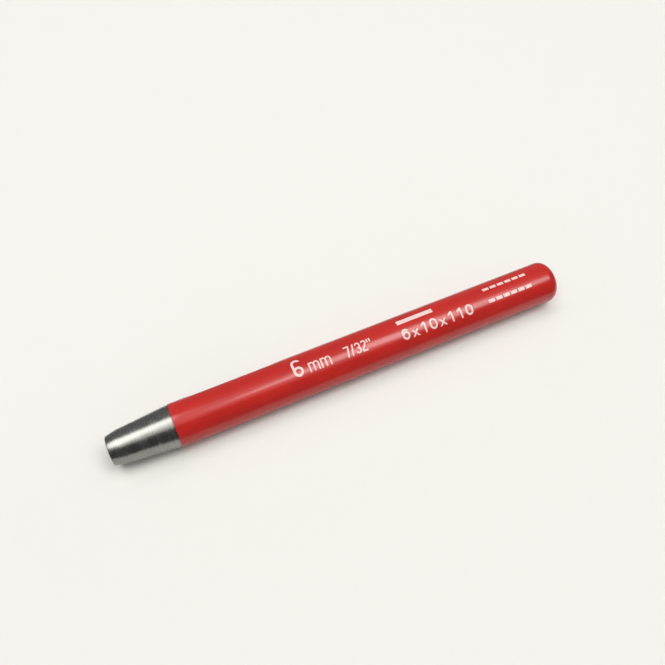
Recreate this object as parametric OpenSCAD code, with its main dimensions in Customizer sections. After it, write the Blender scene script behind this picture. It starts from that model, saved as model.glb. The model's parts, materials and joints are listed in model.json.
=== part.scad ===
// Hollow punch lying on its side: a lacquered round shank with a bare ground nose at -X, a struck head at +X,
// the printed sizes on top and a window at the back (+Y) that lets the cut-out slugs fall from the bore.
// Built from the cutting edge along X, then set on z = 0 with the origin under the middle of the length.

/* [Cutting edge and bore] */
// Diameter of the hole that the punch cuts
hole_d = 6; // [4:0.1:7]
// Width of the land left at the cutting edge
edge_land = 0.3; // [0.1:0.05:0.5]
// Length of the straight bore behind the cutting edge
straight_len = 8; // [4:0.5:12]
// How much wider the bore is behind its straight part
bore_relief = 0.5; // [0.4:0.1:0.8]
// Point angle of the drill that ends the bore
drill_angle = 118; // [90:1:150]

/* [Nose] */
// Length of the bare nose, from the cutting edge to the lacquer
nose_len = 14.5; // [12:0.5:20]
// Length of the sharpened bevel at the cutting edge
bevel_len = 2.4; // [1:0.1:4]
// Angle of that bevel to the axis
bevel_angle = 13; // [8:0.5:18]

/* [Shank and head] */
// Diameter of the shank over its lacquer
shank_d = 10; // [9:0.1:14]
// Overall length, from the cutting edge to the struck face
overall_len = 110; // [100:1:150]
// Rounding of the edge of the struck face, over its lacquer
head_round = 2.4; // [1:0.1:3.5]
// Thickness of the lacquer on the shank and head
lacquer_t = 0.08; // [0.04:0.01:0.15]

/* [Slug window] */
// Bare length of lacquered shank between the nose and the window
window_gap = 4; // [2:0.5:10]
// Length of the floor of the window
window_floor = 9; // [5:0.5:20]
// Radius that the window runs out with at both ends
window_runout = 6; // [5.5:0.5:9]
// How much narrower the window is than the bore, on each side
window_lip = 0.15; // [0.1:0.05:0.3]

/* [Printed sizes] */
// Thickness of the printing ink
ink_t = 0.03; // [0.02:0.01:0.06]
// Turn of the print from the top towards the front
print_roll = 5; // [-20:1:20]
// Height of the numeral of the metric size
numeral_h = 4.2; // [3:0.1:5]
// Stroke of that numeral
numeral_stroke = 0.54; // [0.4:0.02:0.9]
// Height of the letters of the metric unit
unit_h = 2.2; // [1.6:0.1:3]
// Height of the figures of the inch size
inch_h = 2.6; // [1.8:0.1:3]
// Stroke of the unit and of the inch size
small_stroke = 0.32; // [0.25:0.01:0.5]
// Height of the feet of the figures below the middle of the print
print_foot = 1.85; // [1.2:0.05:2.2]

/* [Stripes and figures behind the sizes] */
// Distance of both rows of the print from its middle
row_offset = 1.6; // [1.4:0.05:2]
// Height of the figures in the middle of the shank
middle_h = 2.4; // [2:0.1:2.5]
// Stroke of the figures in the middle of the shank
middle_stroke = 0.42; // [0.25:0.01:0.5]
// Pitch of the figures in the middle of the shank
middle_pitch = 2.34; // [2:0.02:2.6]
// Length of the stripe above those figures
stripe_w = 9.1; // [5:0.1:15]
// Height of that stripe
stripe_h = 1.1; // [0.6:0.1:1.6]
// Pitch of the dashes near the head
dash_pitch = 2; // [1.6:0.05:2.4]
// Height of the dashes near the head
dash_h = 0.7; // [0.4:0.05:1.2]

/* [Room along the print] */
// Share of bare shank ahead of the metric size
room_ahead = 27.7; // [15:0.1:40]
// Share of bare shank ahead of the inch size
room_inch = 3.4; // [1:0.1:8]
// Share of bare shank ahead of the middle print
room_middle = 7.4; // [2:0.1:12]
// Share of bare shank ahead of the dashes
room_rear = 4.4; // [2:0.1:12]
// Share of bare shank behind the dashes
room_behind = 5; // [2:0.1:12]

/* [Hidden] */
$fn = 96;
over = 1;
coat_r = shank_d / 2;
steel_r = coat_r - lacquer_t;
steel_len = overall_len - lacquer_t;
hole_r = hole_d / 2;
edge_r = hole_r + edge_land;
bevel_r = edge_r + bevel_len * tan(bevel_angle);
relief_r = hole_r + bore_relief / 2;
relief_from = straight_len + bore_relief / 2;
window_from = nose_len + window_gap + window_runout;
window_to = window_from + window_floor;
window_w = 2 * (relief_r - window_lip);
drill_point = relief_r / tan(drill_angle / 2);
middle_code = "6x10x110";
dashes = 6;
six_w = 0.55 * numeral_h;
unit_gap = 0.31 * numeral_h;
letter_w = 1.12 * unit_h;
letter_gap = 0.16 * unit_h;
metric_w = six_w + unit_gap + 2 * letter_w + letter_gap;
figure_w = 0.485 * inch_h;
figure_gap = 0.085 * inch_h;
slash_w = 0.355 * inch_h;
tick_pitch = 1.9 * small_stroke;
figure_share = 0.78;
inch_w = 3 * figure_w + slash_w + 4 * figure_gap + tick_pitch + small_stroke;
print_end = overall_len - head_round;
rooms = room_ahead + room_inch + room_middle + room_rear + room_behind;
middle_w = (len(middle_code) - 1 + figure_share) * middle_pitch;
rear_w = (dashes - 1 + figure_share) * dash_pitch;
print_w = metric_w + inch_w + middle_w + rear_w;
room_k = (print_end - nose_len - print_w) / rooms;
metric_x = nose_len + room_k * room_ahead;
inch_x = metric_x + metric_w + room_k * room_inch;
middle_x = inch_x + inch_w + room_k * room_middle;
rear_x = middle_x + middle_w + room_k * room_rear;

// Turns a profile of radius against length about the X axis
module turned() {
    rotate([90, 0, 90]) rotate_extrude() children();
}

// Places the punch on z = 0 with its middle over the origin
module laid() {
    translate([-overall_len / 2, 0, coat_r]) children();
}

// Half outline of a shank that ends in a rounded struck face
module shank_outline(from, to, radius, round_r) {
    translate([0, from]) square([radius, to - round_r - from]);
    translate([0, to - round_r - over]) square([radius - round_r, round_r + over]);
    translate([radius - round_r, to - round_r]) intersection() {
        circle(r = round_r);
        translate([0, -over]) square([round_r + over, round_r + 2 * over]);
    }
}

// Half outline of the tapered nose with its sharpened bevel
module nose_outline() {
    polygon([[0, 0], [edge_r, 0], [bevel_r, bevel_len], [steel_r, nose_len], [steel_r, nose_len + over],
        [0, nose_len + over]]);
}

// Half outline of the bore: straight behind the edge, then relieved up to the drilled end
module bore_outline() {
    polygon([[0, -over], [hole_r, -over], [hole_r, straight_len], [relief_r, relief_from],
        [relief_r, window_to], [0, window_to + drill_point]]);
}

// Milled window: a slot from the back down to the axis that runs out in an arc at both ends
module window_cut() {
    translate([0, 0, -window_w / 2]) linear_extrude(window_w) {
        translate([window_from, 0]) square([window_floor, window_runout + over]);
        for (x = [window_from, window_to])
            translate([x, window_runout]) circle(r = window_runout);
        translate([window_from - window_runout, window_runout])
            square([window_floor + 2 * window_runout, shank_d]);
    }
}

// Film of ink on the top of the lacquer, in the outline of its children
module inked() {
    color([0.93, 0.92, 0.90]) laid() rotate([print_roll, 0, 0]) intersection() {
        linear_extrude(coat_r + over) children();
        rotate([0, 90, 0]) difference() {
            cylinder(r = coat_r + ink_t, h = overall_len);
            translate([0, 0, -over]) cylinder(r = coat_r, h = overall_len + 2 * over);
        }
    }
}

// Flat ring of a given outer radius and stroke
module ring(radius, stroke) {
    difference() {
        circle(r = radius);
        circle(r = radius - stroke);
    }
}

// Figure six: a round bowl, a straight back and a hook over the top
module six(h, w, stroke) {
    bowl = w / 2;
    translate([bowl, bowl]) ring(bowl, stroke);
    translate([0, bowl]) square([stroke, h - 2 * bowl]);
    translate([bowl, h - bowl]) difference() {
        ring(bowl, stroke);
        translate([-bowl - over, -bowl - over]) square([2 * (bowl + over), bowl + over]);
        translate([0, -over]) square([bowl + over, over + 0.4 * bowl]);
    }
}

// Letter of the unit: three legs under two arches
module arched_letter(h, w, stroke) {
    pitch = (w - stroke) / 2;
    arch = (pitch + stroke) / 2;
    square([stroke, h]);
    for (k = [0, 1]) translate([k * pitch, 0]) {
        translate([pitch, 0]) square([stroke, h - arch]);
        translate([arch, h - arch]) intersection() {
            ring(arch, stroke);
            translate([-arch - over, 0]) square(2 * (arch + over));
        }
    }
}

// Upright band with round ends
module rounded_band(h, w) {
    translate([0, w / 2]) square([w, h - w]);
    for (y = [w / 2, h - w / 2]) translate([w / 2, y]) circle(r = w / 2);
}

// Figure nought: one rounded band inside another
module nought(h, w, stroke) {
    difference() {
        rounded_band(h, w);
        translate([stroke, stroke]) rounded_band(h - 2 * stroke, w - 2 * stroke);
    }
}

// Figure one: a stem with a slanted flag
module one(h, w, stroke) {
    stem = 0.5 * w;
    flag = 0.36 * w;
    fall = 0.2 * h;
    polygon([[stem, 0], [stem + stroke, 0], [stem + stroke, h], [stem, h], [stem - flag, h - fall],
        [stem - flag, h - fall - 1.1 * stroke], [stem, h - 1.3 * stroke]]);
}

// Figure seven: a top bar and a slanted leg
module seven(h, w, stroke) {
    leg = 1.1 * stroke;
    polygon([[0, h], [w, h], [w, h - stroke], [0.3 * w + leg, 0], [0.3 * w, 0], [w - leg, h - stroke], [0, h - stroke]]);
}

// Slanted stroke between the figures of a fraction
module slash(h, w, stroke) {
    polygon([[0, 0], [stroke, 0], [w, h], [w - stroke, h]]);
}

// Sign between two sizes: a small cross on the foot line
module times_sign(h, w, stroke) {
    tall = 0.62 * h;
    arm = 1.15 * stroke;
    waist = tall * arm / (2 * (w - arm));
    polygon([[0, 0], [arm, 0], [w / 2, tall / 2 - waist], [w - arm, 0], [w, 0], [w / 2 + arm / 2, tall / 2],
        [w, tall], [w - arm, tall], [w / 2, tall / 2 + waist], [arm, tall], [0, tall], [w / 2 - arm / 2, tall / 2]]);
}

// Figure three: two noughts that share a stroke in the middle and are open at the left
module three(h, w, stroke) {
    bowl = (h + stroke) / 2;
    jaw = 0.36 * bowl;
    difference() {
        for (y = [0, h - bowl]) translate([0, y]) nought(bowl, w, stroke);
        translate([-over, jaw]) square([over + 0.42 * w, h - 2 * jaw]);
    }
}

// Figure two in one outline: over a hooked top, down a slanted leg to a foot bar, and back inside
module two(h, w, stroke) {
    bend = w / 2;
    lean = 35;
    steps = 20;
    turns = [for (k = [0 : steps]) 160 - k * (160 + lean) / steps];
    outer = [for (t = turns) [bend + bend * cos(t), h - bend + bend * sin(t)]];
    inner = [for (t = turns) [bend + (bend - stroke) * cos(t), h - bend + (bend - stroke) * sin(t)]];
    right_foot = outer[steps][0] - (outer[steps][1] - stroke) * tan(lean);
    left_rise = inner[steps][1] - inner[steps][0] / tan(lean);
    back = [for (k = [steps : -1 : 0]) inner[k]];
    polygon(concat(outer, [[right_foot, stroke], [w, stroke], [w, 0], [0, 0], [0, left_rise]], back));
}

// One printed figure or sign, chosen by its character
module figure(sign, h, w, stroke) {
    if (sign == "0") nought(h, w, stroke);
    if (sign == "1") one(h, w, stroke);
    if (sign == "6") six(h, w, stroke);
    if (sign == "x") times_sign(h, w, stroke);
}

// Row of figures at an even pitch, centred on its height
module figure_row(code, h, pitch, stroke) {
    for (k = [0 : len(code) - 1])
        translate([k * pitch, -h / 2]) figure(code[k], h, figure_share * pitch, stroke);
}

// Steel: nose, cutting edge, bore, window, shank and struck head in one piece
module punch_steel() {
    color([0.62, 0.62, 0.60]) laid() difference() {
        turned() {
            nose_outline();
            shank_outline(nose_len, steel_len, steel_r, head_round - lacquer_t);
        }
        turned() bore_outline();
        window_cut();
    }
}

// Lacquer: a thin coat over the shank and head, open at the nose and at the window
module lacquer_coat() {
    color([0.74, 0.13, 0.12]) laid() difference() {
        turned() difference() {
            shank_outline(nose_len, overall_len, coat_r, head_round);
            shank_outline(nose_len - over, steel_len, steel_r, head_round - lacquer_t);
        }
        window_cut();
    }
}

// Metric size of the hole in white ink
module metric_print() {
    inked() translate([metric_x, -print_foot]) {
        six(numeral_h, six_w, numeral_stroke);
        for (k = [0, 1])
            translate([six_w + unit_gap + k * (letter_w + letter_gap), 0])
                arched_letter(unit_h, letter_w, small_stroke);
    }
}

// Inch size of the hole in white ink
module inch_print() {
    step = figure_w + figure_gap;
    after_slash = step + slash_w + figure_gap;
    inked() translate([inch_x, -print_foot]) {
        seven(inch_h, figure_w, small_stroke);
        translate([step, 0]) slash(inch_h, slash_w, small_stroke);
        translate([after_slash, 0]) three(inch_h, figure_w, small_stroke);
        translate([after_slash + step, 0]) two(inch_h, figure_w, small_stroke);
        for (k = [0, 1])
            translate([after_slash + 2 * step + k * tick_pitch, 0.66 * inch_h]) square([small_stroke, 0.34 * inch_h]);
    }
}

// Plain stripe over the sizes of hole, shank and length, in the middle of the shank
module middle_print() {
    inked() translate([middle_x, 0]) {
        translate([0, row_offset - stripe_h / 2]) square([stripe_w, stripe_h]);
        translate([0, -row_offset]) figure_row(middle_code, middle_h, middle_pitch, middle_stroke);
    }
}

// Two rows of plain dashes near the head
module rear_print() {
    inked() translate([rear_x, 0])
        for (row = [-row_offset, row_offset], k = [0 : dashes - 1])
            translate([k * dash_pitch, row - dash_h / 2]) square([figure_share * dash_pitch, dash_h]);
}

punch_steel();
lacquer_coat();
metric_print();
inch_print();
middle_print();
rear_print();
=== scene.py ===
"""A hollow punch for round holes, lying on its side: bare ground nose, red lacquered shank, white print.

Shapes are numpy surfaces in millimetres. x is the distance from the cutting edge, r the distance from
the axis of the punch, and an angle of 0 faces the slug window at the back, a quarter turn the top. Place
turns them into the row frame in metres.
"""

import json
import logging
import math
from dataclasses import dataclass
from enum import Enum
from typing import Optional, Sequence, Union

import bmesh
import bpy
import numpy as np
from mathutils import Matrix, Vector


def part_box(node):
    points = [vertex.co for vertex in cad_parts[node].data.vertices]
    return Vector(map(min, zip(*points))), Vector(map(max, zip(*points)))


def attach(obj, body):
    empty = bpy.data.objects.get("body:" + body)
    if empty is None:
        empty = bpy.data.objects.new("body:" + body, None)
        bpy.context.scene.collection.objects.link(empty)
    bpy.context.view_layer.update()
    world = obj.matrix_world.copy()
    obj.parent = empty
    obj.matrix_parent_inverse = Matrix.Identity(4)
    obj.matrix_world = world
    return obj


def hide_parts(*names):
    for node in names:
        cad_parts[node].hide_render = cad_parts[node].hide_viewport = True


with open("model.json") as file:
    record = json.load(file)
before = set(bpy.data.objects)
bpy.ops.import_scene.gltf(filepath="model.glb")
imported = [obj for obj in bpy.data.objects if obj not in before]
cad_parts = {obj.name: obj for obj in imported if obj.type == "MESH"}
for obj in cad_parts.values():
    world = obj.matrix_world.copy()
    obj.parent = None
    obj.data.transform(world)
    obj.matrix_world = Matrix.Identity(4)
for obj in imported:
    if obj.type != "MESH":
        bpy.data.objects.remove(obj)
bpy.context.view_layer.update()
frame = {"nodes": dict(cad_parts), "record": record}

log = logging.getLogger("hollow_punch")

MM = 0.001
BODY = "root"
NOISE_MIDDLE = (0.3, 0.7)

Pair = tuple[float, float]
Triple = tuple[float, float, float]
Colour = Triple
Socket = bpy.types.NodeSocket
Input = Union[Socket, float, Sequence[float]]


class Finish(Enum):
    """The record's material slots."""

    BARE_STEEL = "bare_steel"
    RED_LACQUER = "red_lacquer"
    WHITE_INK = "white_ink"


class Node(Enum):
    """The CAD nodes that the scene dresses or replaces."""

    STEEL = "punch_steel"
    COAT = "lacquer_coat"
    METRIC_PRINT = "metric_print"
    INCH_PRINT = "inch_print"
    MIDDLE_PRINT = "middle_print"
    REAR_PRINT = "rear_print"


@dataclass(frozen=True)
class Place:
    """Where the punch lies: its cutting edge and axis in the row frame, in metres."""

    edge_x: float
    axis_y: float
    axis_z: float
    length: float

    @classmethod
    def from_frame(cls) -> "Place":
        """Reads the place from the boxes of the steel and its coat. The axis is above y = 0.

        Returns:
            The place.
        """
        steel_low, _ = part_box(Node.STEEL.value)
        coat_low, coat_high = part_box(Node.COAT.value)
        middle = (Vector(coat_low) + Vector(coat_high)) / 2
        return cls(steel_low[0], 0.0, middle.z, coat_high[0] - steel_low[0])

    def metres(self, points: np.ndarray) -> np.ndarray:
        """Moves points of (x, across, up) in millimetres into the row frame."""
        return points * MM + np.array((self.edge_x, self.axis_y, self.axis_z))

    def middle(self) -> Vector:
        """The middle of the axis, in metres."""
        return Vector((self.edge_x + self.length / 2, self.axis_y, self.axis_z))


def round_corners(corners: np.ndarray, radii: Sequence[float], steps: int) -> np.ndarray:
    """Replaces each inner corner of a polyline by an arc that touches both of its sides.

    The arc's centre lies on the bisector at radius / sin(half angle), and its points are the spherical
    blend of its first and last spoke.

    Args:
        corners: The polyline's points, (n, 2).
        radii: The radius of each inner corner, n - 2 values.
        steps: Points on each arc.

    Returns:
        The polyline's ends and all arcs, (2 + (n - 2) * steps, 2).
    """
    at = corners[1:-1]
    back = corners[:-2] - at
    ahead = corners[2:] - at
    back /= np.linalg.norm(back, axis=1, keepdims=True)
    ahead /= np.linalg.norm(ahead, axis=1, keepdims=True)
    half = np.arccos(np.clip(np.sum(back * ahead, axis=1), -1, 1))[:, None] / 2
    radius = np.asarray(radii, float)[:, None]
    reach = radius / np.tan(half)
    bisector = back + ahead
    bisector /= np.linalg.norm(bisector, axis=1, keepdims=True)
    centre = at + bisector * radius / np.sin(half)
    first = at + back * reach - centre
    last = at + ahead * reach - centre
    turn = (math.pi - 2 * half)[:, :, None]
    share = np.linspace(0, 1, steps)[None, :, None]
    arcs = np.sin((1 - share) * turn) * first[:, None] + np.sin(share * turn) * last[:, None]
    arcs = centre[:, None] + arcs / np.sin(turn)
    return np.concatenate((corners[:1], arcs.reshape(-1, 2), corners[-1:]))


def even_out(line: np.ndarray, step: float) -> np.ndarray:
    """Divides each side of a polyline into equal parts no longer than step.

    Args:
        line: The polyline's points, (n, 2).
        step: The longest side that is left.

    Returns:
        The divided polyline, (m, 2).
    """
    sides = np.diff(line, axis=0)
    parts = np.maximum(1, np.ceil(np.linalg.norm(sides, axis=1) / step)).astype(int)
    side = np.repeat(np.arange(len(parts)), parts)
    first = np.repeat(np.cumsum(parts) - parts, parts)
    share = (np.arange(parts.sum()) - first) / parts[side]
    return np.concatenate((line[side] + share[:, None] * sides[side], line[-1:]))


def ramp(values: np.ndarray, start: float, full: float) -> np.ndarray:
    """Takes values straight from 0 at start to 1 at full, and holds them outside."""
    return np.clip((values - start) / (full - start), 0, 1)


def ring_points(line: np.ndarray, turns: np.ndarray) -> np.ndarray:
    """Carries a profile of (x, r) round the axis: the point is (x, r cos turn, r sin turn).

    Args:
        line: The profile, (n, 2).
        turns: The angles round the axis, (m,).

    Returns:
        The points in rows of one ring each, (n, m, 3).
    """
    x, r = line[:, :1], line[:, 1:]
    return np.stack((x + 0 * turns, r * np.cos(turns), r * np.sin(turns)), axis=-1)


def ring_quads(index: np.ndarray) -> np.ndarray:
    """Joins each row of point numbers to the next by four-sided faces, round a closed ring.

    Args:
        index: Point numbers, (rows, columns).

    Returns:
        The faces, ((rows - 1) * columns, 4).
    """
    ahead = np.roll(index, -1, axis=1)
    faces = np.stack((index[:-1], ahead[:-1], ahead[1:], index[1:]), axis=-1)
    return faces.reshape(-1, 4)


def cap(ring: np.ndarray, pole: int, facing_back: bool) -> np.ndarray:
    """Closes a ring of point numbers with triangles to a pole.

    Args:
        ring: The ring's point numbers, (m,).
        pole: The pole's point number.
        facing_back: True at the start of a profile, where the faces run the other way.

    Returns:
        The faces, (m, 3).
    """
    ahead = np.roll(ring, -1)
    faces = np.stack((ring, ahead, np.full_like(ring, pole)), axis=-1)
    return faces[:, ::-1] if facing_back else faces


def turned_solid(line: np.ndarray, count: int) -> tuple[np.ndarray, list[list[int]]]:
    """Turns a profile that starts and ends on the axis into a closed surface.

    Args:
        line: The profile of (x, r), with r = 0 at both ends, (n, 2).
        count: Points on each ring.

    Returns:
        The points in millimetres and the faces.
    """
    turns = np.arange(count) * 2 * math.pi / count
    rings = ring_points(line[1:-1], turns).reshape(-1, 3)
    poles = np.array([[line[0, 0], 0, 0], [line[-1, 0], 0, 0]])
    index = np.arange(len(rings)).reshape(-1, count)
    faces = ring_quads(index).tolist()
    faces += cap(index[0], len(rings), True).tolist()
    faces += cap(index[-1], len(rings) + 1, False).tolist()
    return np.concatenate((rings, poles)), faces


def soft_square(along: np.ndarray, across: np.ndarray, power: float) -> tuple[np.ndarray, np.ndarray]:
    """Draws points round the middle in to a square with round corners, a superellipse.

    Args:
        along: First part of the points.
        across: Second part of the points.
        power: The superellipse's power: 2 is a circle, and more is squarer.

    Returns:
        Both parts of the points, divided by their superellipse radius.
    """
    reach = (np.abs(along) ** power + np.abs(across) ** power) ** (1 / power)
    return along / reach, across / reach


def mesh_object(name: str, points: np.ndarray, faces: list[list[int]]) -> bpy.types.Object:
    """Puts points in metres and their faces into a smooth mesh at the origin.

    Args:
        name: The object's name.
        points: The points, (n, 3).
        faces: Point numbers of each face.

    Returns:
        The new object, linked to the scene.
    """
    mesh = bpy.data.meshes.new(name)
    mesh.from_pydata(points.tolist(), [], faces)
    mesh.polygons.foreach_set("use_smooth", np.ones(len(mesh.polygons), bool))
    mesh.update()
    made = bpy.data.objects.new(name, mesh)
    bpy.context.scene.collection.objects.link(made)
    return made


def divide_wide_faces(mesh: bpy.types.Mesh, nearest: float = 2e-7) -> None:
    """Divides faces of more than four sides into even triangles, and closes up slivers.

    Args:
        mesh: The mesh that is tidied.
        nearest: The distance in metres below which points are one.
    """
    work = bmesh.new()
    work.from_mesh(mesh)
    wide = [face for face in work.faces if len(face.verts) > 4]
    bmesh.ops.triangulate(work, faces=wide, ngon_method="BEAUTY")
    bmesh.ops.dissolve_degenerate(work, dist=nearest, edges=work.edges)
    work.to_mesh(mesh)
    work.free()


def cut(body: bpy.types.Object, cutter: bpy.types.Object, crease: float) -> None:
    """Takes the cutter out of the body, deletes it, and keeps edges over the crease angle sharp.

    Args:
        body: The object that is cut.
        cutter: A closed object of the space to be taken out.
        crease: The angle in degrees past which an edge shows.
    """
    step = body.modifiers.new("window", "BOOLEAN")
    step.operation = "DIFFERENCE"
    step.solver = "EXACT"
    step.object = cutter
    sight = bpy.context.evaluated_depsgraph_get()
    result = bpy.data.meshes.new_from_object(body.evaluated_get(sight))
    old = body.data
    body.modifiers.clear()
    body.data = result
    result.name = body.name
    bpy.data.meshes.remove(old)
    spent = cutter.data
    bpy.data.objects.remove(cutter)
    bpy.data.meshes.remove(spent)
    divide_wide_faces(result)
    result.polygons.foreach_set("use_smooth", np.ones(len(result.polygons), bool))
    result.set_sharp_from_angle(angle=math.radians(crease))


class NodeSheet:
    """The nodes of one material, with its principled shader and short ways to add to them."""

    def __init__(self, name: str) -> None:
        """Makes an empty material with a principled shader on its output.

        Args:
            name: The material's name.
        """
        self.material = bpy.data.materials.new(name)
        self.material.use_nodes = True
        self.tree = self.material.node_tree
        self.tree.nodes.clear()
        self.output = self.add("ShaderNodeOutputMaterial")
        self.shader = self.add("ShaderNodeBsdfPrincipled")
        self.tree.links.new(self.shader.outputs["BSDF"], self.output.inputs["Surface"])
        self.place = self.add("ShaderNodeTexCoord").outputs["Object"]

    def add(self, kind: str, **settings: object) -> bpy.types.Node:
        """Adds a node and sets its properties.

        Args:
            kind: The node's type.
            settings: Its properties, by name.

        Returns:
            The new node.
        """
        node = self.tree.nodes.new(kind)
        for key, value in settings.items():
            setattr(node, key, value)
        return node

    def put(self, socket: Socket, value: Input) -> None:
        """Links an input to a socket, or sets it to a constant.

        Args:
            socket: The input.
            value: The socket or the constant.
        """
        if isinstance(value, bpy.types.NodeSocket):
            self.tree.links.new(value, socket)
        else:
            socket.default_value = value

    def shade(self, **values: Input) -> None:
        """Sets inputs of the shader.

        Args:
            values: Sockets or constants, under the inputs' names in lower case with _ for each space.
        """
        for name, value in values.items():
            title = name.replace("_", " ").title().replace("Ior", "IOR")
            if title == "Base Color" and not isinstance(value, bpy.types.NodeSocket):
                value = (*value, 1.0)
            self.put(self.shader.inputs[title], value)

    def maths(self, operation: str, first: Input, second: Input = 0.0) -> Socket:
        """Joins two values by a maths node.

        Args:
            operation: What the node does.
            first: The first value.
            second: The second value, which an operation on one value leaves out.

        Returns:
            The result.
        """
        node = self.add("ShaderNodeMath", operation=operation)
        self.put(node.inputs[0], first)
        self.put(node.inputs[1], second)
        return node.outputs[0]

    def product(self, first: Input, *others: Input) -> Socket:
        """Multiplies values.

        Args:
            first: The first value.
            others: One or more values that it is multiplied by.

        Returns:
            The product.
        """
        for other in others:
            first = self.maths("MULTIPLY", first, other)
        return first

    def span(
        self, value: Input, low: Input, high: Input, start: Input = 0.0, end: Input = 1.0
    ) -> Socket:
        """Takes a value from between low and high to between start and end, with soft ends.

        Args:
            value: The value.
            low: Where the value gives start.
            high: Where the value gives end.
            start: The result at low.
            end: The result at high.

        Returns:
            The result.
        """
        node = self.add("ShaderNodeMapRange", interpolation_type="SMOOTHSTEP")
        for socket, number in zip(node.inputs[:5], (value, low, high, start, end)):
            self.put(socket, number)
        return node.outputs[0]

    def mix(self, share: Input, first: Input, second: Input) -> Socket:
        """Mixes two colours, which are a mix node's inputs 6 and 7 and output 2.

        Args:
            share: The share of the second colour.
            first: The first colour.
            second: The second colour.

        Returns:
            The mixed colour.
        """
        node = self.add("ShaderNodeMix", data_type="RGBA")
        self.put(node.inputs[0], share)
        for socket, colour in zip(node.inputs[6:8], (first, second)):
            constant = not isinstance(colour, bpy.types.NodeSocket)
            self.put(socket, (*colour, 1.0) if constant else colour)
        return node.outputs[2]

    def parts(self) -> Sequence[Socket]:
        """Takes the object coordinates apart.

        Returns:
            Their x, y and z, in metres.
        """
        node = self.add("ShaderNodeSeparateXYZ")
        self.put(node.inputs[0], self.place)
        return node.outputs

    def stretched(self, per_metre: Triple) -> Socket:
        """Gives the object coordinates a scale along each axis.

        Args:
            per_metre: Units of the pattern in a metre along x, y and z.

        Returns:
            The coordinates.
        """
        node = self.add("ShaderNodeMapping")
        self.put(node.inputs["Vector"], self.place)
        self.put(node.inputs["Scale"], per_metre)
        return node.outputs[0]

    def noise(
        self, vector: Socket, scale: float = 1.0, detail: float = 2.0, roughness: float = 0.5
    ) -> Socket:
        """Smooth noise between 0 and 1, most of it inside NOISE_MIDDLE.

        Args:
            vector: The coordinates.
            scale: Units of the pattern in a unit of the coordinates.
            detail: Finer layers of the pattern.
            roughness: The strength of each layer against the one before it.

        Returns:
            The noise.
        """
        node = self.add("ShaderNodeTexNoise")
        values = {"Vector": vector, "Scale": scale, "Detail": detail, "Roughness": roughness}
        for name, value in values.items():
            self.put(node.inputs[name], value)
        return node.outputs[0]

    def bump(self, height: Socket, depth: float, under: Optional[Socket] = None) -> Socket:
        """Turns a height into a normal.

        Args:
            height: The height, between 0 and 1.
            depth: The depth in metres that a height of 1 stands for.
            under: The normal that it is laid on.

        Returns:
            The normal.
        """
        node = self.add("ShaderNodeBump")
        self.put(node.inputs["Height"], height)
        self.put(node.inputs["Distance"], depth)
        if under is not None:
            self.put(node.inputs["Normal"], under)
        return node.outputs[0]

    def along(self, place: Place) -> Socket:
        """Distance from the cutting edge along the axis, in millimetres."""
        return self.product(self.maths("SUBTRACT", self.parts()[0], place.edge_x), 1 / MM)

    def from_axis(self, place: Place) -> Socket:
        """Distance from the axis, in millimetres: the root of across squared plus up squared.

        Args:
            place: Where the punch lies.

        Returns:
            The distance.
        """
        _, y, z = self.parts()
        across = self.maths("SUBTRACT", y, place.axis_y)
        up = self.maths("SUBTRACT", z, place.axis_z)
        squares = self.maths("ADD", self.maths("POWER", across, 2.0), self.maths("POWER", up, 2.0))
        return self.product(self.maths("SQRT", squares), 1 / MM)


def shaded(colour: Colour, share: float) -> Colour:
    """A colour with each of its parts times a share."""
    return tuple(share * part for part in colour)


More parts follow.
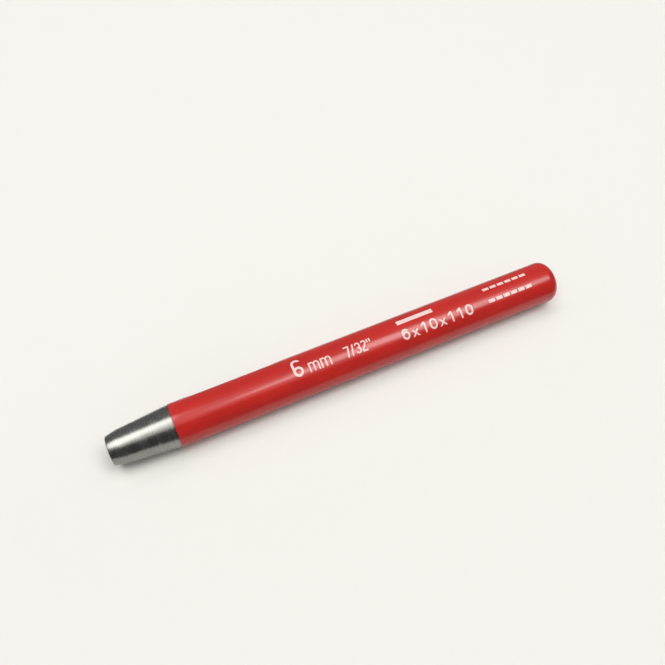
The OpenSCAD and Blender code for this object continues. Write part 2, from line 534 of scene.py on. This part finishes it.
@dataclass(frozen=True)
class GroundSteel:
    """Bare hardened steel, ground round the axis outside and left dark from the drill inside."""

    light: Colour = (0.395, 0.397, 0.379)
    dark: Colour = (0.29, 0.292, 0.277)
    bore: Colour = (0.20, 0.196, 0.188)
    roughness: float = 0.26
    bore_roughness: float = 0.42
    line_depth: float = 1.2e-6
    scratch_depth: float = 0.4e-6
    lines_per_metre: Triple = (5200, 90, 90)
    scratches_per_metre: Triple = (16000, 260, 260)
    patches_per_metre: float = 420.0
    line_share: float = 0.6
    line_roughness: float = 0.1
    patch_range: Pair = (0.35, 0.7)
    patch_roughness: Pair = (-0.02, 0.04)
    drill_shade: float = 0.7
    bore_skin: Pair = (0.06, 0.02)
    bore_mouth: Pair = (0.1, 1.2)
    behind_nose: Pair = (0.4, 0.8)
    coat_line: Pair = (-0.35, 0.05)
    coat_line_share: float = 0.55
    coat_line_shade: float = 0.4

    def material(self, place: Place, bore_r: float, nose_len: float) -> bpy.types.Material:
        """Builds the nodes: rings of grinding lines, soft patches, a dark bore and a dull lacquer line.

        The first of a pair is where a tone starts and the second where it is full, in millimetres:
        bore_skin outside the bore's radius, bore_mouth from the cutting edge, behind_nose in the window
        and coat_line on the nose, both from the nose's end.

        Args:
            place: Where the punch lies.
            bore_r: Widest radius of the bore in millimetres.
            nose_len: Length of the bare nose in millimetres.

        Returns:
            The material.
        """
        sheet = NodeSheet("ground_steel")
        lines = sheet.noise(sheet.stretched(self.lines_per_metre), detail=3.0, roughness=0.6)
        scratches = sheet.noise(sheet.stretched(self.scratches_per_metre))
        patches = sheet.noise(sheet.place, self.patches_per_metre, detail=3.0, roughness=0.55)
        x = sheet.along(place)
        r = sheet.from_axis(place)
        skin = sheet.span(r, *(bore_r + part for part in self.bore_skin))
        in_bore = sheet.product(skin, sheet.span(x, *self.bore_mouth))
        in_window = sheet.span(x, *(nose_len + part for part in self.behind_nose))
        inside = sheet.maths("MAXIMUM", in_bore, in_window)
        shares = sheet.product(lines, self.line_share), sheet.product(patches, 1 - self.line_share)
        lit = sheet.maths("ADD", *shares)
        outer = sheet.mix(sheet.span(lit, *NOISE_MIDDLE), self.dark, self.light)
        edge = sheet.span(x, *(nose_len + part for part in self.coat_line), 0.0, self.coat_line_share)
        outer = sheet.mix(edge, outer, shaded(self.dark, self.coat_line_shade))
        rough = sheet.product(lines, self.line_roughness)
        rough = sheet.maths("ADD", rough, self.roughness - self.line_roughness / 2)
        rough = sheet.maths("ADD", rough, sheet.span(patches, *self.patch_range, *self.patch_roughness))
        gap = sheet.maths("SUBTRACT", self.bore_roughness, rough)
        rough = sheet.maths("ADD", rough, sheet.product(inside, gap))
        drilled = sheet.mix(lines, self.bore, shaded(self.bore, self.drill_shade))
        normal = sheet.bump(lines, self.line_depth)
        normal = sheet.bump(scratches, self.scratch_depth, normal)
        sheet.shade(
            base_color=sheet.mix(inside, outer, drilled),
            metallic=1.0,
            roughness=rough,
            normal=normal,
        )
        return sheet.material


@dataclass(frozen=True)
class RedLacquer:
    """Sprayed red gloss lacquer: faint peel, turned rings under the head, thin inside the window."""

    red: Colour = (0.49, 0.0172, 0.0125)
    deep: Colour = (0.43, 0.0132, 0.0098)
    thin: Colour = (0.19, 0.032, 0.029)
    patch_roughness: Pair = (0.26, 0.21)
    shine: float = 0.42
    coat_weight: float = 0.4
    coat_roughness: float = 0.16
    peel_depth: float = 3.0e-6
    ring_pitch: float = 0.3
    ring_share: float = 0.12
    ring_rise: float = 0.2
    patches_per_metre: Triple = (90, 260, 260)
    peel_per_metre: float = 620.0
    dust_per_metre: float = 3300.0
    dust_range: Pair = (0.66, 0.8)
    dust_share: float = 0.25
    cover_per_metre: float = 2400.0
    cover_range: Pair = (0.3, 0.75)
    least_thin: float = 0.45
    thin_below: float = 0.6
    thinnest_at: float = 0.4
    thin_margin: float = 0.4
    thin_roughness: float = 0.25

    def material(self, place: Place, coat_r: float, window: "SlugWindow") -> bpy.types.Material:
        """Builds the nodes: soft patches, peel, dust, rings on the head and a thin film in the window.

        In the window the film thins from thin_below the shank's surface to thinnest_at of its radius.
        The rings rise over the last ring_rise of the head. Lengths are in millimetres.

        Args:
            place: Where the punch lies.
            coat_r: Radius over the lacquer in millimetres.
            window: The window whose walls the lacquer thins on.

        Returns:
            The material.
        """
        sheet = NodeSheet("red_lacquer")
        patches = sheet.noise(sheet.stretched(self.patches_per_metre), detail=3.0)
        peel = sheet.noise(sheet.place, self.peel_per_metre, detail=1.5, roughness=0.4)
        dust = sheet.noise(sheet.place, self.dust_per_metre, detail=1.0)
        x = sheet.along(place)
        r = sheet.from_axis(place)
        half = float(window.half_length(np.array(coat_r)))
        aside = sheet.maths("ABSOLUTE", sheet.maths("SUBTRACT", x, window.middle()))
        deep_in = sheet.span(r, coat_r - self.thin_below, self.thinnest_at * coat_r)
        deep_in = sheet.product(deep_in, sheet.span(aside, half + self.thin_margin, half))
        cover = sheet.noise(sheet.place, self.cover_per_metre, detail=4.0, roughness=0.65)
        bare = sheet.product(deep_in, sheet.span(cover, *self.cover_range, self.least_thin, 1.0))
        colour = sheet.mix(sheet.span(patches, *NOISE_MIDDLE), self.deep, self.red)
        rough = sheet.span(patches, *NOISE_MIDDLE, *self.patch_roughness)
        rough = sheet.maths("ADD", rough, sheet.span(bare, 0.0, 1.0, 0.0, self.thin_roughness))
        rings = sheet.maths("SINE", sheet.product(r, 2 * math.pi / self.ring_pitch))
        end = place.length / MM
        face = sheet.span(x, end - self.ring_rise, end, 0.0, self.ring_share)
        height = sheet.maths("ADD", peel, sheet.span(dust, *self.dust_range, 0.0, self.dust_share))
        height = sheet.maths("ADD", height, sheet.product(rings, face))
        sheet.shade(
            base_color=sheet.mix(bare, colour, self.thin),
            roughness=rough,
            normal=sheet.bump(height, self.peel_depth),
            specular_ior_level=self.shine,
            coat_weight=self.coat_weight,
            coat_roughness=self.coat_roughness,
        )
        return sheet.material


@dataclass(frozen=True)
class WhiteInk:
    """Pad-printed white ink, a little uneven, with pin holes that show the red below it."""

    white: Colour = (0.76, 0.58, 0.56)
    worn: Colour = (0.70, 0.42, 0.40)
    below: Colour = (0.46, 0.05, 0.04)
    roughness: Pair = (0.36, 0.5)
    grain_depth: float = 1.5e-6
    cover_per_metre: float = 900.0
    holes_per_metre: float = 5200.0
    grain_per_metre: float = 9000.0
    worn_range: Pair = (0.52, 0.8)
    worn_share: float = 0.6
    hole_range: Pair = (0.72, 0.78)

    def material(self) -> bpy.types.Material:
        """Builds the nodes: cloudy cover, pin holes and a dull grain.

        Returns:
            The material.
        """
        sheet = NodeSheet("white_ink")
        cover = sheet.noise(sheet.place, self.cover_per_metre, detail=3.0, roughness=0.6)
        holes = sheet.noise(sheet.place, self.holes_per_metre, detail=1.0)
        grain = sheet.noise(sheet.place, self.grain_per_metre, roughness=0.6)
        worn = sheet.span(cover, *self.worn_range, 0.0, self.worn_share)
        colour = sheet.mix(worn, self.white, self.worn)
        colour = sheet.mix(sheet.span(holes, *self.hole_range), colour, self.below)
        rough = sheet.span(grain, *NOISE_MIDDLE, *self.roughness)
        sheet.shade(base_color=colour, roughness=rough, normal=sheet.bump(grain, self.grain_depth))
        return sheet.material


@dataclass(frozen=True)
class SlugWindow:
    """The milled window at the back that lets the cut-out slugs leave the bore."""

    floor_from: float = 24.5
    floor_to: float = 33.5
    runout: float = 6.0
    half_width: float = 3.1
    corner_power: float = 14.0

    def middle(self) -> float:
        """The middle of the floor along the axis."""
        return (self.floor_from + self.floor_to) / 2

    def half_length(self, level: np.ndarray) -> np.ndarray:
        """Half the window's length at a height above the floor: half the floor plus the runout arc."""
        rise = np.clip(self.runout - level, 0, self.runout)
        return (self.floor_to - self.floor_from) / 2 + np.sqrt(self.runout**2 - rise**2)

    def wall(self, level: np.ndarray, along: np.ndarray, across: np.ndarray, grow: float) -> np.ndarray:
        """The window's wall: the unit loop times the half length and half width at each level.

        Args:
            level: Height above the floor, in millimetres.
            along: The unit loop's part along the axis.
            across: The unit loop's part across the window.
            grow: How far the wall stands back from the window's own size.

        Returns:
            Points of (x, level, up), as the inputs' shape with a last axis of 3.
        """
        x = self.middle() + (self.half_length(level) + grow) * along
        up = (self.half_width + grow) * across
        return np.stack(np.broadcast_arrays(x, level, up), axis=-1)

    def cutter(
        self, top: float, grow: float, count: int = 320, steps: int = 22
    ) -> tuple[np.ndarray, list[list[int]]]:
        """The space of the window as a closed surface, from its floor to a level outside the shank.

        Args:
            top: The level of its upper end.
            grow: How far it stands back from the window's own size.
            count: Points on each loop.
            steps: Loops, at equal turns of the runout arc.

        Returns:
            The points in millimetres and the faces.
        """
        turns = np.arange(count) * 2 * math.pi / count
        along, across = soft_square(np.cos(turns), np.sin(turns), self.corner_power)
        arc = np.linspace(0, math.acos(1 - top / self.runout), steps)
        level = self.runout * (1 - np.cos(arc))
        points = self.wall(level[:, None], along[None], across[None], grow)
        index = np.arange(points.size // 3).reshape(steps, count)
        faces = ring_quads(index)[:, ::-1].tolist()
        faces += [index[0].tolist(), index[-1, ::-1].tolist()]
        return points.reshape(-1, 3), faces


@dataclass(frozen=True)
class SteelBody:
    """The turned, drilled and milled steel of the punch, in millimetres.

    The fillets follow the profile's corners from the drilled end of the bore to the end of the nose.
    """

    hole_r: float
    straight_len: float
    coat_r: float
    length: float
    window: SlugWindow
    edge_land: float = 0.3
    bevel_len: float = 2.4
    bevel_r: float = 3.854
    nose_len: float = 14.5
    film: float = 0.08
    relief_r: float = 3.25
    drill_point: float = 1.953
    head_round: float = 2.4
    fillets: tuple[float, ...] = (0.3, 0.12, 0.12, 0.03, 0.2, 8.0, 6.0)
    fillet_steps: int = 8
    ring_step: float = 1.0
    ring_count: int = 192
    window_top: float = 5.6
    stand_back: float = 0.06
    crease: float = 32.0

    def profile(self) -> np.ndarray:
        """The outline from the bore's blind end, out at the cutting edge, to the middle of the head.

        Returns:
            The profile of (x, r), (n, 2).
        """
        steel_r = self.coat_r - self.film
        steel_end = self.length - self.film
        bore_end = self.window.floor_to
        corners = np.array(
            [
                (bore_end + self.drill_point, 0),
                (bore_end, self.relief_r),
                (self.straight_len + self.relief_r - self.hole_r, self.relief_r),
                (self.straight_len, self.hole_r),
                (0, self.hole_r),
                (0, self.hole_r + self.edge_land),
                (self.bevel_len, self.bevel_r),
                (self.nose_len, steel_r),
                (steel_end, steel_r),
                (steel_end, 0),
            ]
        )
        radii = (*self.fillets, self.head_round - self.film)
        return even_out(round_corners(corners, radii, self.fillet_steps), self.ring_step)

    def build(self, place: Place) -> bpy.types.Object:
        """Turns the profile round the axis and mills the window out of it.

        Args:
            place: Where the punch lies.

        Returns:
            The steel.
        """
        points, faces = turned_solid(self.profile(), self.ring_count)
        steel = mesh_object("ground_steel_body", place.metres(points), faces)
        points, faces = self.window.cutter(self.window_top, self.stand_back)
        milled = mesh_object("window_space", place.metres(points), faces)
        cut(steel, milled, self.crease)
        return steel

    def dress(self, place: Place, steel: bpy.types.Object) -> None:
        """Gives the steel its ground finish and its place on the body.

        Args:
            place: Where the punch lies.
            steel: The steel that build made.
        """
        steel.data.materials.clear()
        steel.data.materials.append(GroundSteel().material(place, self.relief_r, self.nose_len))
        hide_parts(Node.STEEL.value)
        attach(steel, BODY)


@dataclass(frozen=True)
class LacquerCoat:
    """The lacquer film on the shank and head, which rolls over the window's rim and runs down its walls.

    Sizes are in millimetres. The patch is the part of the rings that makes room for the window's loops.
    """

    radius: float
    length: float
    bore_r: float
    window: SlugWindow
    start: float
    film: float
    head_round: float
    head_steps: int = 18
    edge_round: float = 0.06
    edge_steps: int = 6
    ring_step: float = 0.9
    ring_count: int = 180
    patch_margin: float = 2.2
    patch_rings: int = 57
    patch_turns: int = 26
    rim_soft: float = 0.28
    flat_loops: int = 8
    roll_loops: int = 7
    skirt_loops: int = 12
    bore_lap: float = 0.06
    runout_part: Pair = (0.58, 0.85)
    runout_low: float = 0.2

    def profile(self) -> tuple[np.ndarray, int, int]:
        """The outline from the edge at the nose to the middle of the head, with even rings in the patch.

        Returns:
            The profile of (x, r), and the numbers of the first and last ring of the window's patch.
        """
        half = float(self.window.half_length(np.array(self.radius))) + self.patch_margin
        first = self.window.middle() - half
        last = self.window.middle() + half
        inner = self.radius - self.film
        front = np.array([(self.start, inner), (self.start, self.radius), (first, self.radius)])
        front = round_corners(front, (self.edge_round,), self.edge_steps)
        along = np.linspace(first, last, self.patch_rings)
        patch = np.stack((along, np.full_like(along, self.radius)), axis=-1)
        back = np.array([(last, self.radius), (self.length, self.radius), (self.length, 0)])
        back = even_out(round_corners(back, (self.head_round,), self.head_steps), self.ring_step)
        line = np.concatenate((front[:-1], patch, back[1:]))
        return line, len(front) - 1, len(front) + len(patch) - 2

    def border(self, first: int, last: int) -> tuple[np.ndarray, np.ndarray]:
        """The patch's border, once round from its front lower corner.

        Args:
            first: The number of the patch's first ring.
            last: The number of its last ring.

        Returns:
            The border's ring numbers and turn numbers.
        """
        wide = self.patch_turns
        long = last - first
        rows = np.r_[first:last, np.full(2 * wide, last), last:first:-1, np.full(2 * wide, first)]
        turns = np.r_[np.full(long, -wide), -wide:wide, np.full(long, wide), wide:-wide:-1]
        return rows, turns

    def rim_loops(
        self, x: np.ndarray, turn: np.ndarray, along: np.ndarray, across: np.ndarray
    ) -> np.ndarray:
        """Loops from the patch's border to the window, over its rim and down its wall.

        The rim is where the window's wall meets the shank. The film leaves the shank at rim_soft before
        the rim, follows a parabola with the rim as its middle point, and joins the wall at rim_soft
        below it. On the wall it ends bore_lap outside the bore, and over runout_part of the loop's length
        that end eases down to runout_low.

        Args:
            x: The border's places along the axis.
            turn: The border's angles.
            along: The border's unit loop along the axis.
            across: The border's unit loop across the window.

        Returns:
            The loops' points in millimetres, without the border itself, (loops, points, 3).
        """
        up = self.window.half_width * across
        level = np.sqrt(self.radius**2 - up**2)
        rim = self.window.wall(level, along, across, 0.0)
        outward = rim * np.array((0, 1, 1)) / self.radius
        tangent = np.roll(rim, -1, axis=0) - np.roll(rim, 1, axis=0)
        away = np.cross(outward, tangent)
        away /= np.linalg.norm(away, axis=1, keepdims=True)
        middle = np.array((self.window.middle(), self.radius, 0.0))
        away *= np.sign(np.sum(away * (rim - middle), axis=1, keepdims=True))
        leave = rim + away * self.rim_soft
        leave[:, 1:] *= self.radius / np.linalg.norm(leave[:, 1:], axis=1, keepdims=True)
        join_level = level - self.rim_soft
        join = self.window.wall(join_level, along, across, 0.0)

        share = np.linspace(0, 1, self.flat_loops + 1)[1:, None]
        flat_x = x + share * (leave[:, 0] - x)
        flat_turn = turn + share * (np.arctan2(leave[:, 2], leave[:, 1]) - turn)
        flat = (flat_x, self.radius * np.cos(flat_turn), self.radius * np.sin(flat_turn))
        flat = np.stack(flat, axis=-1)
        share = np.linspace(0, 1, self.roll_loops + 1)[1:, None, None]
        roll = (1 - share) ** 2 * leave + 2 * share * (1 - share) * rim + share**2 * join

        in_bore = np.sqrt(np.maximum(self.bore_r**2 - up**2, 0)) + self.bore_lap
        ease = ramp(along, *self.runout_part)
        ease = ease * ease * (3 - 2 * ease)
        low = in_bore + ease * (self.runout_low - in_bore)
        share = np.linspace(0, 1, self.skirt_loops + 1)[1:, None]
        skirt = self.window.wall(join_level + share * (low - join_level), along, across, 0.0)
        return np.concatenate((flat, roll, skirt))

    def build(self, place: Place) -> bpy.types.Object:
        """Turns the outline round the axis, opens a patch for the window and fills that with loops.

        Args:
            place: Where the punch lies.

        Returns:
            The coat.
        """
        line, first, last = self.profile()
        count = self.ring_count
        turns = np.arange(count) * 2 * math.pi / count
        rings = ring_points(line[:-1], turns).reshape(-1, 3)
        index = np.arange(len(rings)).reshape(-1, count)
        quads = ring_quads(index).reshape(len(index) - 1, count, 4)
        row = np.arange(len(index) - 1)[:, None]
        column = (np.arange(count)[None] + self.patch_turns) % count
        in_patch = (row >= first) & (row < last) & (column < 2 * self.patch_turns)
        faces = quads[~in_patch].tolist()

        rows, steps = self.border(first, last)
        turn = steps * 2 * math.pi / count
        half = (line[last, 0] - line[first, 0]) / 2
        along, across = soft_square(
            (line[rows, 0] - self.window.middle()) / half,
            steps / self.patch_turns,
            self.window.corner_power,
        )
        loops = self.rim_loops(line[rows, 0], turn, along, across)
        fresh = len(rings) + np.arange(loops.size // 3).reshape(loops.shape[:2])
        joined = np.concatenate((index[rows, steps % count][None], fresh))
        faces += ring_quads(joined)[:, ::-1].tolist()

        pole = len(rings) + loops.size // 3
        faces += cap(index[-1], pole, False).tolist()
        tip = np.array([[self.length, 0, 0]])
        points = np.concatenate((rings, loops.reshape(-1, 3), tip))
        coat = mesh_object("red_lacquer_coat", place.metres(points), faces)
        wall = coat.modifiers.new("film", "SOLIDIFY")
        wall.thickness = self.film * MM
        wall.offset = -1.0
        return coat

    def dress(self, place: Place, coat: bpy.types.Object) -> None:
        """Gives the coat its lacquer and its place on the body.

        Args:
            place: Where the punch lies.
            coat: The coat that build made.
        """
        coat.data.materials.append(RedLacquer().material(place, self.radius, self.window))
        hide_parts(Node.COAT.value)
        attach(coat, BODY)


@dataclass(frozen=True)
class Print:
    """The printed sizes, stripe and dashes, which stay as the CAD drew them."""

    nodes: tuple[Node, ...] = (Node.METRIC_PRINT, Node.INCH_PRINT, Node.MIDDLE_PRINT, Node.REAR_PRINT)

    def dress(self) -> list[bpy.types.Object]:
        """Gives the ink nodes their printed finish.

        Returns:
            The nodes.
        """
        ink = WhiteInk().material()
        shown = [frame["nodes"][node.value] for node in self.nodes]
        for piece in shown:
            for slot in piece.material_slots:
                slot.link = "OBJECT"
                slot.material = ink
        return shown


@dataclass(frozen=True)
class Softbox:
    """A rectangular lamp over the punch, facing straight down, in metres from the middle of its axis.

    Gloss doesn't show a lamp without in_gloss, and a lamp without in_light shows in gloss alone.
    """

    name: str
    at: Triple
    size: Pair
    turn: float
    glow: float
    in_gloss: bool = True
    in_light: bool = True
    colour: Colour = (1.0, 0.99, 0.97)

    def build(self, place: Place) -> None:
        """Hangs the lamp: its power is pi times its area times the glow that it shows.

        Args:
            place: Where the punch lies.
        """
        lamp = bpy.data.lights.new(self.name, "AREA")
        lamp.shape = "RECTANGLE"
        lamp.size, lamp.size_y = self.size
        lamp.energy = math.pi * self.size[0] * self.size[1] * self.glow
        lamp.color = self.colour
        hung = bpy.data.objects.new(self.name, lamp)
        hung.location = place.middle() + Vector(self.at)
        hung.rotation_euler = (0, 0, math.radians(self.turn))
        hung.visible_camera = False
        hung.visible_glossy = self.in_gloss
        hung.visible_diffuse = self.in_light
        bpy.context.scene.collection.objects.link(hung)


@dataclass(frozen=True)
class Studio:
    """Pale floor, soft overhead light, a dim surround that only gloss sees, and the camera, in metres.

    A pair is where something starts and where it is full. The strips are painted light on the floor
    before
    the punch: they paint its shadow paler, with another tone at the nose, and paint the shadow's core
    paler still. Gloss sees the floor dimmed by painted shade.
    """

    pale: Colour = (0.914, 0.900, 0.866)
    sky: float = 0.31
    floor_half: float = 4.0
    floor_share: float = 0.804
    floor_roughness: float = 0.7
    floor_shine: float = 0.2
    floor_fade: Pair = (0.12, 0.42)
    # Painted shade: gloss sees the floor dimmer, as if the floor near the punch lay in shade.
    gloss_painted_shade: float = 0.8
    # Painted light: the strips below paint the floor paler in the punch's cast shadow before it and take
    # the red bounce out of that shadow under the shank. Only the camera sees them.
    strip_back: Pair = (0.003, -0.003)
    strip_left: Pair = (-0.060, -0.0505)
    strip_right: Pair = (0.061, 0.045)
    shank_painted_light: Colour = (0.795, 0.83, 0.79)
    shank_light_strip: Pair = (-0.0105, -0.005)
    nose_painted_light: Colour = (0.835, 0.822, 0.777)
    nose_light_strip: Pair = (-0.008, -0.0052)
    nose_start: Pair = (-0.036, -0.045)
    core_painted_light: float = 1.2
    core_light_strip: Pair = (-0.007, -0.0035)
    core_left: Pair = (-0.058, -0.034)
    core_right: Pair = (0.064, 0.052)
    wall_front: float = -0.028
    wall_back: float = 0.020
    wall_ends: float = 0.025
    wall_power: float = 5.0
    wall_count: int = 96
    wall_foot: float = 0.0002
    wall_top: float = 0.042
    back_shank_top: float = 0.100
    back_shank_part: Pair = (-0.055, -0.030)
    back_tip_top: float = 0.027
    back_tip_part: Pair = (-0.056, -0.066)
    front_nose_top: float = 0.051
    front_nose_part: Pair = (0.0, -0.020)
    front_tip_foot: float = 0.0042
    front_tip_part: Pair = (-0.042, -0.050)
    front_glow: float = 0.08
    back_glow: float = 0.22
    softboxes: tuple[Softbox, ...] = (
        Softbox("right_softbox", (0.40, -0.25, 1.0), (0.70, 0.42), -35.0, 5.0),
        Softbox("left_softbox", (-0.512, 0.157, 1.0), (0.665, 0.69), -30.0, 2.6),
        Softbox("bevel_card", (-0.841, 0.647, 1.0), (0.395, 0.48), -30.0, 1.3, in_light=False),
        Softbox("top_softbox", (0.0, 0.33, 1.1), (1.20, 1.00), 0.0, 2.03, in_gloss=False),
    )
    view_angle: float = 50.0
    azimuth: float = 24.0
    elevation: float = 59.0
    distance: float = 0.1636
    aside: float = -0.00277
    above: float = 0.00613
    sensor: float = 36.0
    near_clip: float = 0.005
    far_clip: float = 50.0

    def light_path(self, tree: bpy.types.NodeTree) -> Socket:
        """Tells what the camera sees, directly or in gloss or glass, from light that falls on things.

        Args:
            tree: The nodes that it is added to.

        Returns:
            1 for what the camera sees, and 0 for the rest.
        """
        path = tree.nodes.new("ShaderNodeLightPath")
        seen = path.outputs["Is Camera Ray"]
        for name in ("Is Glossy Ray", "Is Transmission Ray"):
            larger = tree.nodes.new("ShaderNodeMath")
            larger.operation = "MAXIMUM"
            tree.links.new(seen, larger.inputs[0])
            tree.links.new(path.outputs[name], larger.inputs[1])
            seen = larger.outputs[0]
        return seen

    def world(self) -> None:
        """An even sky that lights at a plain level and is seen in the floor's colour."""
        world = bpy.data.worlds.new("studio")
        world.use_nodes = True
        tree = world.node_tree
        ground = tree.nodes["Background"]
        mix = tree.nodes.new("ShaderNodeMix")
        mix.data_type = "RGBA"
        mix.inputs[6].default_value = (self.sky, self.sky, self.sky, 1.0)
        mix.inputs[7].default_value = (*self.pale, 1.0)
        tree.links.new(self.light_path(tree), mix.inputs[0])
        tree.links.new(mix.outputs[2], ground.inputs["Color"])
        bpy.context.scene.world = world

    def floor_colour_and_painted_light(self, sheet: NodeSheet) -> Socket:
        """The floor's colour: strips of painted light that lighten the shadow, which only the camera
        sees, and painted shade that dims the floor for gloss.

        Args:
            sheet: The floor's nodes.

        Returns:
            The colour.
        """
        x, y, _ = sheet.parts()
        path = sheet.add("ShaderNodeLightPath")
        front = sheet.product(sheet.span(y, *self.strip_back), path.outputs["Is Camera Ray"])
        nose = sheet.span(x, *self.nose_start)
        reach = [sheet.span(nose, 0.0, 1.0, *ends) for ends in zip(self.shank_light_strip, self.nose_light_strip)]
        beside = sheet.product(sheet.span(x, *self.strip_left), sheet.span(x, *self.strip_right))
        strip = sheet.product(sheet.span(y, *reach), front, beside)
        # Painted light: the floor in the shadow before the punch is painted paler, in a neutral tone at
        # the nose.
        tone = sheet.mix(nose, self.shank_painted_light, self.nose_painted_light)
        tone = sheet.mix(strip, shaded(self.pale, self.floor_share), tone)
        beside = sheet.product(sheet.span(x, *self.core_left), sheet.span(x, *self.core_right))
        core = sheet.product(sheet.span(y, *self.core_light_strip), front, beside)
        # Painted light: the shadow's core is painted paler still.
        painted_lift = sheet.span(core, 0.0, 1.0, 1.0, self.core_painted_light)
        # Painted shade: the floor's colour is dimmed for gloss rays.
        gloss_shade = sheet.span(path.outputs["Is Glossy Ray"], 0.0, 1.0, 1.0, self.gloss_painted_shade)
        lifted = sheet.add("ShaderNodeVectorMath", operation="SCALE")
        sheet.put(lifted.inputs[0], tone)
        sheet.put(lifted.inputs["Scale"], sheet.product(painted_lift, gloss_shade))
        return lifted.outputs[0]

    def floor(self) -> bpy.types.Object:
        """A pale floor that keeps the shadow near the punch, lightened there by painted light, and fades
        into the sky's colour further out.

        Returns:
            The floor.
        """
        half = self.floor_half
        points = np.array([(-half, -half, 0), (half, -half, 0), (half, half, 0), (-half, half, 0)])
        floor = mesh_object("pale_floor", points, [[0, 1, 2, 3]])
        sheet = NodeSheet("pale_floor")
        sheet.shade(
            base_color=self.floor_colour_and_painted_light(sheet),
            roughness=self.floor_roughness,
            specular_ior_level=self.floor_shine,
        )
        length = sheet.add("ShaderNodeVectorMath", operation="LENGTH")
        sheet.put(length.inputs[0], sheet.place)
        far = sheet.span(length.outputs["Value"], *self.floor_fade)
        glow = sheet.add("ShaderNodeEmission")
        sheet.put(glow.inputs["Color"], (*self.pale, 1.0))
        blend = sheet.add("ShaderNodeMixShader")
        sheet.put(blend.inputs[0], sheet.product(far, self.light_path(sheet.tree)))
        sheet.put(blend.inputs[1], sheet.shader.outputs["BSDF"])
        sheet.put(blend.inputs[2], glow.outputs[0])
        sheet.put(sheet.output.inputs["Surface"], blend.outputs[0])
        floor.data.materials.append(sheet.material)
        return floor

    def wall_heights(self, x: np.ndarray, y: np.ndarray) -> tuple[np.ndarray, np.ndarray]:
        """The surround's foot and top, with straight ramps along the punch and from its axis outwards.

        The top is higher behind the shank and before the nose, and lower behind the tip. The foot is
        higher before the tip.

        Args:
            x: Places along the punch.
            y: Places across it.

        Returns:
            The heights of the foot and of the top.
        """
        behind = ramp(y, 0.0, self.wall_back)
        before = ramp(y, 0.0, self.wall_front)
        at_tip = before * ramp(x, *self.front_tip_part)
        foot = self.wall_foot + at_tip * (self.front_tip_foot - self.wall_foot)
        changes = (
            (behind, self.back_shank_part, self.back_shank_top),
            (behind, self.back_tip_part, self.back_tip_top),
            (before, self.front_nose_part, self.front_nose_top),
        )
        shares = [side * ramp(x, *part) * (top - self.wall_top) for side, part, top in changes]
        return foot, self.wall_top + sum(shares)

    def surround(self, place: Place) -> bpy.types.Object:
        """A dim wall close round the punch that only gloss sees, as round metal needs to show its shape.

        It is a soft square loop carried straight up, darker in front than behind.

        Args:
            place: Where the punch lies.

        Returns:
            The wall.
        """
        turns = np.arange(self.wall_count) * 2 * math.pi / self.wall_count
        along, across = soft_square(np.cos(turns), np.sin(turns), self.wall_power)
        middle = (self.wall_back + self.wall_front) / 2
        half = (self.wall_back - self.wall_front) / 2
        x = (place.length / 2 + self.wall_ends) * along
        y = place.axis_y + middle + half * across
        points = np.concatenate([np.stack((x, y, level), axis=-1) for level in self.wall_heights(x, y)])
        index = np.arange(len(points)).reshape(2, -1)
        wall = mesh_object("dim_surround", points, ring_quads(index).tolist())
        sheet = NodeSheet("dim_surround")
        share = sheet.span(sheet.parts()[1], self.wall_front, self.wall_back)
        glow = sheet.add("ShaderNodeEmission")
        sheet.put(glow.inputs["Color"], sheet.mix(share, (self.front_glow,) * 3, (self.back_glow,) * 3))
        sheet.put(sheet.output.inputs["Surface"], glow.outputs[0])
        wall.data.materials.append(sheet.material)
        for kind in ("camera", "diffuse", "transmission", "shadow"):
            setattr(wall, f"visible_{kind}", False)
        return wall

    def camera(self, place: Place) -> None:
        """Sets the camera at the photograph's angle: it aims beside the axis' middle by aside and above.

        Args:
            place: Where the punch lies.
        """
        turn, rise = math.radians(self.azimuth), math.radians(self.elevation)
        right = Vector((math.cos(turn), -math.sin(turn), 0))
        level = Vector((math.sin(turn), math.cos(turn), 0)) * math.cos(rise)
        forward = level - Vector((0, 0, math.sin(rise)))
        up = right.cross(forward)
        aim = place.middle() + right * self.aside + up * self.above
        data = bpy.data.cameras.new("camera")
        data.sensor_width = self.sensor
        data.lens = self.sensor / 2 / math.tan(math.radians(self.view_angle / 2))
        data.clip_start, data.clip_end = self.near_clip, self.far_clip
        camera = bpy.data.objects.new("camera", data)
        axes = Matrix((right, up, -forward)).transposed().to_4x4()
        axes.translation = aim - forward * self.distance
        camera.matrix_world = axes
        bpy.context.scene.collection.objects.link(camera)
        bpy.context.scene.camera = camera

    def build(self, place: Place) -> None:
        """Sets the camera, the floor, the surround, the lamps and the sky.

        Args:
            place: Where the punch lies.
        """
        self.camera(place)
        self.floor()
        self.surround(place)
        for softbox in self.softboxes:
            softbox.build(place)
        self.world()
        bpy.context.scene.view_settings.view_transform = "Standard"


def mount_size(name: str, size: str) -> float:
    """A size in millimetres of one of the record's mounts."""
    return next(m for m in frame["record"]["mounts"] if m["name"] == name)["dims"][size]


def report(piece: bpy.types.Object) -> None:
    """Logs a piece that is done."""
    log.info("%s: %d faces", piece.name, len(piece.data.polygons))


def main() -> None:
    """Builds the studio, the steel, its coat and the print in order."""
    logging.basicConfig(level=logging.INFO, format="%(name)s: %(message)s")
    place = Place.from_frame()
    Studio().build(place)
    window = SlugWindow()
    length = place.length / MM
    coat_r = mount_size("shank", "r_mm")
    hole_r = mount_size("cutting_bore", "r_mm")
    body = SteelBody(hole_r, mount_size("cutting_bore", "length_mm"), coat_r, length, window)
    steel = body.build(place)
    body.dress(place, steel)
    report(steel)
    film = LacquerCoat(
        radius=coat_r,
        length=length,
        bore_r=body.relief_r,
        window=window,
        start=body.nose_len,
        film=body.film,
        head_round=body.head_round,
    )
    coat = film.build(place)
    film.dress(place, coat)
    report(coat)
    for piece in Print().dress():
        report(piece)


if __name__ == "__main__":
    main()
